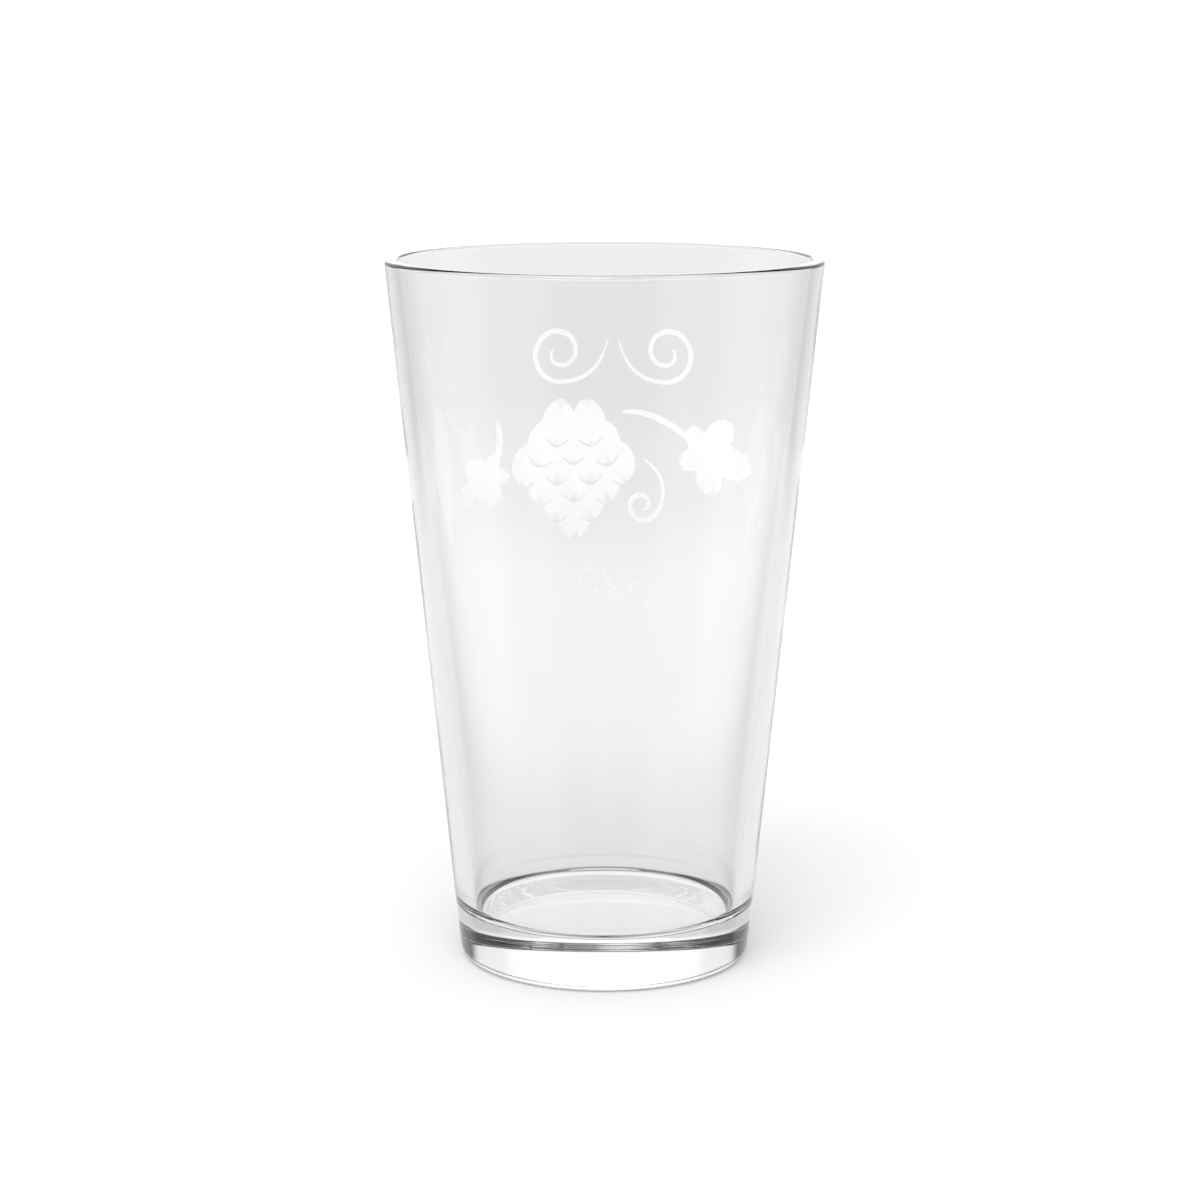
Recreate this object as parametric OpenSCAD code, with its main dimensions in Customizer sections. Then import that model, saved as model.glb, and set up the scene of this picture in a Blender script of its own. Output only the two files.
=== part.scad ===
// Pint glass: a tapered, thick-based beer tumbler with a printed hop emblem.
// Millimetres. +Z is up and is the axis of the glass; the origin is the centre of the
// circle it stands on. The print is on the outside of the +Y wall, and is seen through
// the glass from the -Y side.

/* [Body] */
// Height from the table to the top of the rim
height = 145.5; // [130:0.5:160]
// Diameter of the straight outer wall carried up to the height of the rim
rim_d = 89; // [84:0.5:94]
// Diameter of the straight outer wall carried down to the table
foot_d = 60.2; // [56:0.1:66]

/* [Wall] */
// Wall thickness at the rim
wall_rim = 2.6; // [2:0.1:3.2]
// Rounding of the rim's two edges
lip_r = 0.9; // [0.5:0.1:1]
// Wall thickness just above the inner floor
wall_low = 3.9; // [3.2:0.1:5]

/* [Base] */
// Height of the inner floor above the table
floor_t = 10.5; // [8:0.5:16]
// Radius where the inner floor meets the wall
floor_fillet = 3; // [2:0.5:7]
// Radius of the outer bottom edge
heel_r = 2.5; // [1:0.25:4]
// Width of the flat ring that the glass stands on
ring_w = 3; // [1.5:0.5:6]
// Depth of the shallow dome under the base
punt_h = 0.3; // [0.3:0.1:1.5]

/* [Print] */
// Thickness of the fired ink
ink_t = 0.08; // [0.05:0.01:0.2]
// Height of the emblem's centre above the table
emblem_z = 97; // [90:1:100]
// Size of the whole print
print_scale = 1; // [0.8:0.05:1.1]
// Distance from the emblem's centre up to the pair of scrolls
scroll_up = 24.5; // [23:0.5:26]
// Distance from the emblem's centre down to the low scroll
scroll_down = 27; // [25:0.5:30]

/* [Hidden] */
rim_r = rim_d / 2;
foot_r = foot_d / 2;
round_fn = 96;         // smoothness of the round edges

// Outer wall: a straight line leaning out by lean degrees
lean = atan((rim_r - foot_r) / height);
function wall_x(z) = foot_r + (rim_r - foot_r) * z / height;

// Heel: a circle tangent to the table and to the outer wall
heel_c = [wall_x(heel_r) - heel_r / cos(lean), heel_r];

// Rim: two circles that touch the full height, the outer one tangent to the outer wall
lip_out = [wall_x(height - lip_r) - lip_r / cos(lean), height - lip_r];
lip_in = lip_out - [wall_rim - 2 * lip_r, 0];

// Inner wall: from the inner rim circle down to the low wall thickness at the floor
low_x = wall_x(floor_t) - wall_low;
reach = [lip_in[0] - low_x, lip_in[1] - floor_t];
inner_lean = atan(reach[0] / reach[1]) - asin(lip_r / norm(reach));
function inner_x(z) = low_x + (z - floor_t) * tan(inner_lean);

// Floor fillet: a circle tangent to the inner wall and to the inner floor
fillet_c = [inner_x(floor_t + floor_fillet) - floor_fillet / cos(inner_lean),
            floor_t + floor_fillet];

// Dome under the base, as a cap of a large sphere
punt_r = heel_c[0] - ring_w;
punt_ball = (punt_r * punt_r + punt_h * punt_h) / (2 * punt_h);

// The point on a circle at an angle from +X
function on_circle(c, r, a) = c + r * [cos(a), sin(a)];

// ---- print ------------------------------------------------------------------

// Half width of a stroke, thin at both ends and full in between
function taper(t, w) = w * (0.3 + 0.7 * pow(sin(180 * t), 0.6));

// Outline of a stroke of half width w that follows the points p
function stroke(p, w) =
    let (n = len(p) - 1,
         side = [for (i = [0 : n])
                 let (d = p[min(i + 1, n)] - p[max(i - 1, 0)]) [-d[1], d[0]] / norm(d)])
    concat([for (i = [0 : n]) p[i] - side[i] * taper(i / n, w)],
           [for (i = [n : -1 : 0]) p[i] + side[i] * taper(i / n, w)]);

// Points of a spiral about c, from radius r0 and angle a0 to r1 and a1
function spiral(c, r0, a0, r1, a1, n) =
    [for (i = [0 : n]) on_circle(c, r0 + (r1 - r0) * i / n, a0 + (a1 - a0) * i / n)];

// Points of a cubic curve from a to d, pulled by b and c
function curve(a, b, c, d, n) =
    [for (i = [0 : n]) let (t = i / n, s = 1 - t)
     a * s * s * s + 3 * b * s * s * t + 3 * c * s * t * t + d * t * t * t];

// Leaf outline: five pointed lobes, the middle one longest, with toothed edges
leaf_steps = 90;
leaf_teeth = 22;
leaf_gape = 174;       // degrees each way from the tip to the stalk's notch
function leaf_r(a, r) =
    r * (0.58 + 0.42 * abs(cos(a * 2.5))) * (0.8 + 0.2 * cos(a)) * (1 + 0.03 * cos(a * leaf_teeth));
function leaf(r) =
    [for (i = [0 : leaf_steps]) let (a = leaf_gape * (2 * i / leaf_steps - 1))
     leaf_r(a, r) * [cos(a), sin(a)]];

// Hop cone: rows of pointed bracts that overlap like shingles, narrowing to a tip
cone_count = [2, 3, 4, 3, 2, 1];
cone_top = 15;
cone_step = 4.1;
cone_space = 5.6;
cone_fan = 2.4;        // degrees that a bract leans for each millimetre off centre
bract_w = 7.6;
bract_h = 10.6;
bract_bow = (bract_w * bract_w + bract_h * bract_h) / (4 * bract_w);
vein_from = 0.62;      // where a vein starts, from the bract's middle to its tip

// Half width of a bract at a share t of the way from its middle to its tip
function bract_half(t) =
    sqrt(bract_bow * bract_bow - pow(t * bract_h / 2, 2)) - bract_bow + bract_w / 2;

// One bract, hanging from its top at the origin
module bract() {
    translate([0, -bract_h / 2]) intersection() {
        translate([bract_w / 2 - bract_bow, 0]) circle(bract_bow, $fn = round_fn);
        translate([bract_bow - bract_w / 2, 0]) circle(bract_bow, $fn = round_fn);
    }
}

// The fine clear line round the tip of a bract
module vein() {
    n = 4;
    function at(t, s) = [s * bract_half(t), -(1 + t) * bract_h / 2];
    polygon(stroke(concat(
        [for (i = [0 : n]) at(vein_from + (1 - vein_from) * i / n, -1)],
        [for (i = [n - 1 : -1 : 0]) at(vein_from + (1 - vein_from) * i / n, 1)]), 0.26));
}

// Places one child for each bract of rows first to last
module bracts(first, last) {
    for (k = [first : last]) for (j = [0 : cone_count[k] - 1]) {
        x = (j - (cone_count[k] - 1) / 2) * cone_space;
        translate([x, cone_top - k * cone_step - abs(x) * 0.12]) rotate(x * cone_fan)
            children();
    }
}

module cone_shape() {
    difference() {
        bracts(0, len(cone_count) - 1) bract();
        bracts(0, len(cone_count) - 2) vein();
    }
}

// A leaf with its tip along +x and its notch at the origin, and its stalk
module leaf_shape(r, stalk) {
    polygon(leaf(r));
    polygon(stroke(stalk, 0.7));
}

// Lays a flat drawing on the outside of the +Y wall as a film of ink.
// The drawing's x runs along X and its y along Z, from the emblem's centre.
module ink(z_low, z_high) {
    z0 = emblem_z + print_scale * z_low;
    z1 = emblem_z + print_scale * z_high;
    t = ink_t / cos(lean);
    intersection() {
        rotate_extrude($fn = round_fn)
            polygon([[wall_x(z0), z0], [wall_x(z0) + t, z0],
                     [wall_x(z1) + t, z1], [wall_x(z1), z1]]);
        translate([0, rim_r + 5, emblem_z]) rotate([90, 0, 0])
            linear_extrude(rim_r) scale(print_scale) children();
    }
}

// ---- sub-parts ---------------------------------------------------------------

// The glass itself: one pressed piece, a tapered wall on a thick base
module tumbler() {
    color([0.86, 0.93, 0.95, 0.35])
    difference() {
        rotate_extrude($fn = round_fn) difference() {
            union() {
                polygon([[0, 0], [heel_c[0], 0],
                         on_circle(heel_c, heel_r, -lean),
                         on_circle(lip_out, lip_r, -lean),
                         lip_out + [0, lip_r], lip_in + [0, lip_r],
                         on_circle(lip_in, lip_r, 180 - inner_lean),
                         on_circle(fillet_c, floor_fillet, -inner_lean),
                         fillet_c, [fillet_c[0], floor_t], [0, floor_t]]);
                translate(heel_c) circle(heel_r, $fn = round_fn);
                translate(lip_out) circle(lip_r, $fn = round_fn);
                translate(lip_in) circle(lip_r, $fn = round_fn);
            }
            translate(fillet_c) circle(floor_fillet, $fn = round_fn);
        }
        translate([0, 0, punt_h - punt_ball]) sphere(punt_ball, $fn = round_fn);
    }
}

// The hanging hop cone in the middle of the emblem
module hop_cone() {
    color([0.97, 0.97, 1]) ink(-18, 18) translate([-7, 0]) cone_shape();
}

// Leaf at the end of a long stalk that arches out to the right of the cone
module leaf_right() {
    color([0.97, 0.97, 1]) ink(-12, 18)
        translate([23.3, 3.5]) rotate(-14)
            leaf_shape(10.4, curve([-20.5, 3.2], [-15, 5.5], [-8, 3.5], [0.5, 0], 14));
}

// Smaller leaf on a short stalk to the left of the cone
module leaf_left() {
    color([0.97, 0.97, 1]) ink(-12, 18)
        translate([-26.6, -1.2]) rotate(214)
            leaf_shape(7.6, curve([-8.4, -8.6], [-7.4, -5], [-4, -1], [0.5, 0], 12));
}

// Curling tendril that hangs below the right of the cone
module tendril() {
    color([0.97, 0.97, 1]) ink(-20, 6)
        polygon(stroke(concat(curve([9, 1.5], [13, -0.5], [15, -5.5], [12.3, -9.6], 10),
                              spiral([8.7, -8.4], 3.8, -22, 1.1, -430, 30)), 0.55));
}

// Volute of the upper pair, curling in at its outer end
module volute() {
    polygon(stroke(concat(curve([1.2, 2.6], [3, -3.5], [6, -6.2], [11.4, -6.3], 12),
                          spiral([12.2, 0], 6.3, -84, 1.5, 390, 40)), 0.55));
}

// Right and left halves of the upper pair, with a gap between them
module scroll_right() {
    color([0.97, 0.97, 1]) ink(scroll_up - 8, scroll_up + 8)
        translate([2, scroll_up]) volute();
}

module scroll_left() {
    color([0.97, 0.97, 1]) ink(scroll_up - 8, scroll_up + 8)
        translate([2, scroll_up]) mirror([1, 0]) volute();
}

// S-shaped scroll below the emblem: one half, and the same half turned about its middle
module scroll_low() {
    curl = spiral([5.4, -0.6], 4.1, 214, 1.1, 610, 30);
    half = concat([for (i = [0 : 2]) curl[0] * i / 3], curl);
    color([0.97, 0.97, 1]) ink(-scroll_down - 8, -scroll_down + 8)
        translate([2, -scroll_down])
            polygon(stroke(concat([for (i = [len(half) - 1 : -1 : 1]) -half[i]], half), 0.5));
}

tumbler();
hop_cone();
leaf_left();
leaf_right();
tendril();
scroll_left();
scroll_right();
scroll_low();
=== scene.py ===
# Pint glass: a clear pressed tumbler with a white printed hop emblem, on a white studio
# sweep. Everything is in metres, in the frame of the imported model.
import math

import bmesh
import bpy
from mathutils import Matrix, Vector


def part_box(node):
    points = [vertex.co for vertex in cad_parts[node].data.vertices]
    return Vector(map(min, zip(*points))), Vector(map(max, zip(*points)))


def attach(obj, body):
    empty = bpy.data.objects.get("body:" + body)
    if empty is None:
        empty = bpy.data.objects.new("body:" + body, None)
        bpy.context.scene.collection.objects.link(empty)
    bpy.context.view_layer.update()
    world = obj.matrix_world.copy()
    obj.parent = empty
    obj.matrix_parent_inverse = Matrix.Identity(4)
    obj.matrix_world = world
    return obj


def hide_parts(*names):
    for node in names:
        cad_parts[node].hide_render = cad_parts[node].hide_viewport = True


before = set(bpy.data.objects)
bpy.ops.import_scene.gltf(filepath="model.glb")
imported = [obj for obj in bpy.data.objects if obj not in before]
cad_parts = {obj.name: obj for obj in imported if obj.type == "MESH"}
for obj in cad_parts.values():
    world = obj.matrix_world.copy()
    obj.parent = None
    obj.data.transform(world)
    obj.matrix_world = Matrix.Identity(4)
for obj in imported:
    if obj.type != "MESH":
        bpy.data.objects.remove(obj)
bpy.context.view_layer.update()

MM = 0.001

# ---- the tumbler's section, the same sizes as the CAD source, in metres ----------------------

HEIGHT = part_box("tumbler")[1].z
RIM_R = 44.5 * MM          # the straight outer wall line at the rim height
FOOT_R = 30.1 * MM         # and at the table
WALL_RIM = 2.6 * MM
LIP_R = 0.9 * MM           # rounding of the rim's two edges
WALL_LOW = 3.9 * MM
FLOOR_T = 10.5 * MM
FLOOR_FILLET = 3 * MM
HEEL_R = 2.5 * MM
RING_W = 3 * MM
PUNT_H = 0.3 * MM
INK_T = 0.08 * MM
WETTED = 0.01 * MM         # how far the glass closes over the back of the ink
WELD = 0.002 * MM          # points of an ink film closer than this are one
SEGMENTS = 336             # facets round the glass

LEAN = math.atan((RIM_R - FOOT_R) / HEIGHT)


def wall_x(z):
    """Radius of the straight outer wall at height z."""
    return FOOT_R + (RIM_R - FOOT_R) * z / HEIGHT


def eased(a, b, n):
    """n steps from a to b, much shorter at both ends, as pairs."""
    steps = [(1 - math.cos(math.pi * i / n)) / 2 for i in range(n + 1)]
    return [(a[0] + (b[0] - a[0]) * s, a[1] + (b[1] - a[1]) * s) for s in steps]


def arc(c, r, a0, a1, n):
    """n steps along a circle about c, from angle a0 to a1."""
    return [(c[0] + r * math.cos(a0 + (a1 - a0) * i / n),
             c[1] + r * math.sin(a0 + (a1 - a0) * i / n)) for i in range(n + 1)]


def section():
    """The glass's outline from the middle of its base, out, up and back to the inner floor."""
    heel = (wall_x(HEEL_R) - HEEL_R / math.cos(LEAN), HEEL_R)
    lip_out = (wall_x(HEIGHT - LIP_R) - LIP_R / math.cos(LEAN), HEIGHT - LIP_R)
    lip_in = (lip_out[0] + 2 * LIP_R - WALL_RIM, lip_out[1])
    low_x = wall_x(FLOOR_T) - WALL_LOW
    reach = (lip_in[0] - low_x, lip_in[1] - FLOOR_T)
    inner_lean = math.atan(reach[0] / reach[1]) - math.asin(LIP_R / math.hypot(*reach))

    def inner_x(z):
        return low_x + (z - FLOOR_T) * math.tan(inner_lean)

    fillet_z = FLOOR_T + FLOOR_FILLET
    fillet = (inner_x(fillet_z) - FLOOR_FILLET / math.cos(inner_lean), fillet_z)
    punt_r = heel[0] - RING_W
    ball = (punt_r ** 2 + PUNT_H ** 2) / (2 * PUNT_H)
    edge = math.asin(punt_r / ball)
    quarter = math.pi / 2
    points = arc((0, PUNT_H - ball), ball, quarter, quarter - edge, 24)
    points += eased(points[-1], (heel[0], 0), 8)[1:]
    points += arc(heel, HEEL_R, -quarter, -LEAN, 28)[1:]
    lip = arc(lip_out, LIP_R, -LEAN, quarter, 32)
    points += eased(points[-1], lip[0], 48)[1:] + lip[1:]
    lip = arc(lip_in, LIP_R, quarter, math.pi - inner_lean, 32)
    points += eased(points[-1], lip[0], 8)[1:] + lip[1:]
    bend = arc(fillet, FLOOR_FILLET, -inner_lean, -quarter, 28)
    points += eased(points[-1], bend[0], 48)[1:] + bend[1:]
    points += eased(points[-1], (0, FLOOR_T), 16)[1:]
    points[0], points[-1] = (0, PUNT_H), (0, FLOOR_T)
    # the straight wall closes over the back of the ink by a hair
    return [(x + WETTED if HEEL_R < z and x > wall_x(z) - WETTED else x, z) for x, z in points]


def lathe(name, points):
    """A closed smooth mesh made by turning points about the Z axis."""
    verts, rings, faces = [], [], []
    for x, z in points:
        if x == 0:
            rings.append([len(verts)] * SEGMENTS)
            verts.append((0, 0, z))
        else:
            rings.append(list(range(len(verts), len(verts) + SEGMENTS)))
            verts += [(x * math.cos(a), x * math.sin(a), z)
                      for a in (2 * math.pi * k / SEGMENTS for k in range(SEGMENTS))]
    for low, high in zip(rings, rings[1:]):
        for k in range(SEGMENTS):
            n = (k + 1) % SEGMENTS
            corners = [low[k], low[n], high[n], high[k]]
            faces.append(list(dict.fromkeys(corners)))
    mesh = bpy.data.meshes.new(name)
    mesh.from_pydata(verts, [], faces)
    mesh.shade_smooth()
    piece = bpy.data.objects.new(name, mesh)
    bpy.context.scene.collection.objects.link(piece)
    return piece


def film(name, node):
    """The node's film of ink, its doubled points welded, laid exactly on the cone of the wall.
    """
    bm = bmesh.new()
    bm.from_mesh(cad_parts[node].data)
    bmesh.ops.remove_doubles(bm, verts=bm.verts, dist=WELD)
    outer = {v: math.hypot(v.co.x, v.co.y) - wall_x(v.co.z) > INK_T / 2 for v in bm.verts}
    for v, out in outer.items():
        r = wall_x(v.co.z) + (INK_T / math.cos(LEAN) if out else 0)
        v.co.y = math.sqrt(r * r - v.co.x ** 2)
    mesh = bpy.data.meshes.new(name)
    bm.to_mesh(mesh)
    bm.free()
    mesh.shade_smooth()
    mesh.set_sharp_from_angle(angle=math.radians(40))
    piece = bpy.data.objects.new(name, mesh)
    bpy.context.scene.collection.objects.link(piece)
    return piece


# ---- materials -------------------------------------------------------------------------------

class Nodes:
    """Short names for building a node tree."""

    def __init__(self, owner):
        owner.use_nodes = True
        self.tree = owner.node_tree

    def add(self, kind, **values):
        """A new node; each value sets an input by name, links a socket, or sets a property."""
        node = self.tree.nodes.new("ShaderNode" + kind)
        for key, value in values.items():
            if hasattr(node, key):
                setattr(node, key, value)
                continue
            socket = node.inputs[int(key[1:]) if key[1:].isdigit() else key.replace("_", " ")]
            self.set(socket, value)
        return node

    def set(self, socket, value):
        if isinstance(value, bpy.types.NodeSocket):
            self.tree.links.new(value, socket)
        else:
            socket.default_value = value

    def math(self, operation, a, b=0.0):
        return self.add("Math", operation=operation, _0=a, _1=b).outputs[0]

    def mix(self, share, a, b):
        """a where share is 0, b where it is 1."""
        return self.add("Mix", data_type="FLOAT", _0=share, _2=a, _3=b).outputs[0]

    def stops(self, value, table):
        """A smooth curve of value, from -1 to 1, through pairs of position and level."""
        half = self.math("MULTIPLY_ADD", value, 0.5)
        half.node.inputs[2].default_value = 0.5
        ramp = self.add("ValToRGB", Fac=half)
        ramp.color_ramp.interpolation = "EASE"
        cells = ramp.color_ramp.elements
        cells.remove(cells[1])
        for i, (place, level) in enumerate(table):
            cell = cells[0] if i == 0 else cells.new((place + 1) / 2)
            cell.position = (place + 1) / 2
            cell.color = (level, level, level, 1)
        return ramp.outputs[0]

    def grey(self, tone, blue):
        """A grey colour with its own level of blue."""
        return self.add("CombineColor", _0=tone, _1=tone, _2=blue).outputs[0]

    def bump(self, height):
        """A normal from a height in metres."""
        return self.add("Bump", Strength=1.0, Distance=1.0, Height=height).outputs[0]

    def ramp(self, value, low, high, to_low=0.0, to_high=1.0):
        """value eased from low..high to to_low..to_high."""
        return self.add("MapRange", interpolation_type="SMOOTHSTEP", Value=value,
                        From_Min=low, From_Max=high, To_Min=to_low, To_Max=to_high).outputs[0]


def glass_material():
    """Clear pressed soda-lime glass, faintly wavy, and scuffed on the ring it stands on."""
    mat = bpy.data.materials.new("clear_glass")
    n = Nodes(mat)
    shader = n.tree.nodes["Principled BSDF"]
    place = n.add("TexCoord").outputs["Object"]
    z = n.add("SeparateXYZ", Vector=place).outputs["Z"]
    waves = n.add("TexNoise", Vector=place, Scale=75.0, Detail=2.0, Roughness=0.4).outputs[0]
    grit = n.add("TexNoise", Vector=place, Scale=2400.0, Detail=4.0, Roughness=0.6).outputs[0]
    worn = n.ramp(z, 0.08 * MM, 0.02 * MM)
    scuffs = n.math("MULTIPLY", worn, n.ramp(grit, 0.62, 0.74))
    relief = n.math("SUBTRACT", n.math("MULTIPLY", waves, 0.02 * MM),
                    n.math("MULTIPLY", scuffs, 0.004 * MM))
    tone = n.mix(waves, 0.974, 0.986)
    n.set(shader.inputs["Base Color"], n.grey(tone, tone))
    n.set(shader.inputs["Roughness"], n.mix(scuffs, 0.0, 0.3))
    n.set(shader.inputs["Normal"], n.bump(relief))
    shader.inputs["IOR"].default_value = 1.5
    shader.inputs["Transmission Weight"].default_value = 1
    return mat


def ink_material():
    """Fired white screen-print enamel: satin, grained, a little patchy, and translucent, with a
    painted glow.
    """
    mat = bpy.data.materials.new("white_ink")
    n = Nodes(mat)
    shader = n.tree.nodes["Principled BSDF"]
    place = n.add("TexCoord").outputs["Object"]
    grain = n.add("TexNoise", Vector=place, Scale=2200.0, Detail=4.0, Roughness=0.55).outputs[0]
    patch = n.add("TexNoise", Vector=place, Scale=220.0, Detail=2.0, Roughness=0.5).outputs[0]
    cells = n.add("TexVoronoi", Vector=place, Scale=650.0).outputs["Distance"]
    pits = n.ramp(cells, 0.16, 0.06)
    thin = n.math("ADD", n.math("MULTIPLY", n.ramp(patch, 0.35, 0.7), 0.6),
                  n.math("MULTIPLY", grain, 0.4))
    tone = n.math("SUBTRACT", n.mix(thin, 0.96, 0.92), n.math("MULTIPLY", pits, 0.08))
    n.set(shader.inputs["Base Color"], n.grey(tone, n.math("MULTIPLY", tone, 1.025)))
    n.set(shader.inputs["Roughness"], n.mix(grain, 0.34, 0.6))
    relief = n.math("SUBTRACT", n.math("MULTIPLY", grain, 0.006 * MM),
                    n.math("MULTIPLY", pits, 0.01 * MM))
    n.set(shader.inputs["Normal"], n.bump(relief))
    shader.inputs["Subsurface Weight"].default_value = 1
    shader.inputs["Subsurface Radius"].default_value = (1, 1, 1)
    shader.inputs["Subsurface Scale"].default_value = 0.4 * MM
    # painted glow: a faint emission stands in for light shining through the ink film from behind
    shader.inputs["Emission Color"].default_value = (0.97, 0.97, 1, 1)
    shader.inputs["Emission Strength"].default_value = 0.4
    return mat


glass = glass_material()
ink = ink_material()

tumbler = lathe("glass_body", section())
tumbler.data.materials.append(glass)
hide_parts("tumbler")
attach(tumbler, "root")

for node in sorted(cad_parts):
    if node != "tumbler":
        piece = film("print_" + node, node)
        piece.data.materials.clear()
        piece.data.materials.append(ink)
        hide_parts(node)
        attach(piece, "root")

# ---- studio ----------------------------------------------------------------------------------

SWEEP_R = 4.0
SWEEP_DROP = 0.01 * MM     # how far the paper lies under the glass
bm = bmesh.new()
bmesh.ops.create_circle(bm, cap_ends=True, segments=128, radius=SWEEP_R)
sweep_mesh = bpy.data.meshes.new("sweep")
bm.to_mesh(sweep_mesh)
bm.free()
sweep = bpy.data.objects.new("sweep", sweep_mesh)
sweep.location.z = -SWEEP_DROP
bpy.context.scene.collection.objects.link(sweep)
paper = bpy.data.materials.new("white_paper")
paper.use_nodes = True
shader = paper.node_tree.nodes["Principled BSDF"]
shader.inputs["Base Color"].default_value = (0.95, 0.95, 0.95, 1)
shader.inputs["Roughness"].default_value = 0.9
shader.inputs["Specular IOR Level"].default_value = 0
sweep_mesh.materials.append(paper)
sweep.visible_glossy = False
sweep.visible_transmission = False

# The light. The paper and the ink are lit by an even dome and a big soft key, also where
# they are seen through the glass. The glass mirrors and bends a studio: a bright backdrop,
# low bright sides, and a dark front and roof. Each curve gives the light at the sine of an
# elevation, and ROUND places the curves by the cosine of the angle from the front.
DOME = 0.85
KEY = (-15, 52, 24, 2.35)    # azimuth, elevation, half size, strength
BACK = ((-0.94, 0.32), (-0.86, 0.92), (-0.50, 0.92), (-0.36, 0.84), (-0.29, 0.91), (-0.24, 1.07),
        (-0.205, 1.09), (-0.16, 0.98), (-0.13, 0.93), (-0.09, 0.94), (0.03, 1.0), (0.08, 1.8),
        (0.13, 1.8), (0.22, 1.12), (0.50, 1.12), (0.66, 0.05))
WING = ((-0.94, 0.32), (-0.86, 0.92), (-0.50, 0.92), (-0.36, 0.82), (-0.28, 0.87), (-0.22, 0.87),
        (-0.16, 0.76), (0.02, 0.8), (0.16, 1.1), (0.50, 1.1), (0.66, 0.05))
FLANK = ((-0.80, 0.7), (-0.56, 0.85), (-0.38, 0.85), (-0.25, 0.86), (-0.20, 0.64), (-0.10, 0.64),
         (0.12, 0.9), (0.50, 1.05), (0.62, 0.05))
SIDE = ((-0.80, 0.4), (-0.36, 0.45), (-0.26, 0.7), (0.04, 0.7), (0.14, 0.05))
CORNER = ((-0.80, 0.25), (-0.42, 0.25), (-0.32, 0.6), (-0.12, 0.6), (-0.03, 0.05))
FRONT = ((-1.0, 0.05), (1.0, 0.05))
ROUND = ((-0.985, BACK), (-0.945, WING), (-0.89, WING), (-0.83, FLANK), (-0.66, FLANK),
         (-0.50, SIDE), (0.05, SIDE), (0.45, CORNER), (0.78, CORNER), (0.93, FRONT))

world = bpy.data.worlds.new("studio")
bpy.context.scene.world = world
n = Nodes(world)
n.tree.nodes.clear()
ray = n.add("TexCoord").outputs["Generated"]
x, y, z = n.add("SeparateXYZ", Vector=ray).outputs
flat = n.math("SQRT", n.math("ADD", n.math("MULTIPLY", x, x), n.math("MULTIPLY", y, y)))
front = n.math("DIVIDE", n.math("MULTIPLY", y, -1.0), n.math("MAXIMUM", flat, 0.001))
curves = {id(c): n.stops(z, c) for _, c in ROUND}
studio = curves[id(BACK)]
for (c0, low), (c1, high) in zip(ROUND, ROUND[1:]):
    if low is not high:
        studio = n.mix(n.ramp(front, c0, c1), studio, curves[id(high)])
a, e, h = (math.radians(v) for v in KEY[:3])
toward = (math.sin(a) * math.cos(e), -math.cos(a) * math.cos(e), math.sin(e))
near = n.add("VectorMath", operation="DOT_PRODUCT", _0=ray, _1=toward).outputs["Value"]
key = n.ramp(near, math.cos(h * 1.25), math.cos(h * 0.75), 0.0, KEY[3])
path = n.add("LightPath").outputs
bent = n.math("MAXIMUM", path["Is Glossy Ray"], path["Is Transmission Ray"])
bent = n.math("MULTIPLY", bent, n.math("LESS_THAN", path["Diffuse Depth"], 0.5))
light = n.mix(bent, n.math("ADD", key, DOME), studio)
light = n.mix(path["Is Camera Ray"], light, 1.0)
shade = n.add("Background", Color=n.add("CombineColor", _0=light, _1=light, _2=light).outputs[0],
              Strength=1.0)
n.add("OutputWorld", Surface=shade.outputs[0])

# ---- camera ----------------------------------------------------------------------------------

CAMERA_AT = (-0.00093, -0.59922, 0.19268)
CAMERA_PITCH = 11.117      # degrees below level
CAMERA_LENS = 88.656       # millimetres, on a 36 mm sensor

camera = bpy.data.objects.new("camera", bpy.data.cameras.new("camera"))
bpy.context.scene.collection.objects.link(camera)
camera.data.sensor_width = 36
camera.data.lens = CAMERA_LENS
camera.data.clip_start = 0.01
camera.location = CAMERA_AT
camera.rotation_euler = (math.radians(90 - CAMERA_PITCH), 0, 0)
bpy.context.scene.camera = camera

scene = bpy.context.scene
scene.view_settings.view_transform = "Standard"
scene.cycles.max_bounces = 24
scene.cycles.transmission_bounces = 24
scene.cycles.glossy_bounces = 12
